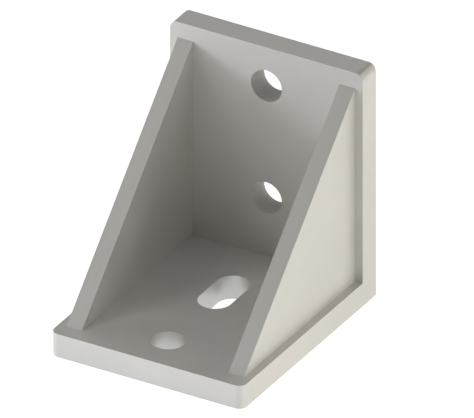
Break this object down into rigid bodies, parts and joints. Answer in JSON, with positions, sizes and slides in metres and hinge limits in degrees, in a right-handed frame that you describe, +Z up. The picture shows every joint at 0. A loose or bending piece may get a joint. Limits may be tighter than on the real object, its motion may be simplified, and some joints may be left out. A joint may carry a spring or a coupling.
{
  "type": "angle bracket",
  "caption": "Cast right-angle bracket with side gussets, round screw holes and a slot in the base, for bolting framing members square to each other.",
  "frame": {"origin": "middle of the base's underside: halfway across the width, and halfway from the upright's flat back to the base's front edge", "axes": "+Z up from the base's underside, +Y towards the upright's flat back, +X across the width, to the right when the open side is seen from the front"},
  "size_m": [0.05, 0.06, 0.06],
  "materials": {
    "casting": "light grey satin, fine as-cast surface"
  },
  "bodies": {
    "root": {"bracket": "casting"}
  },
  "joints": []
}
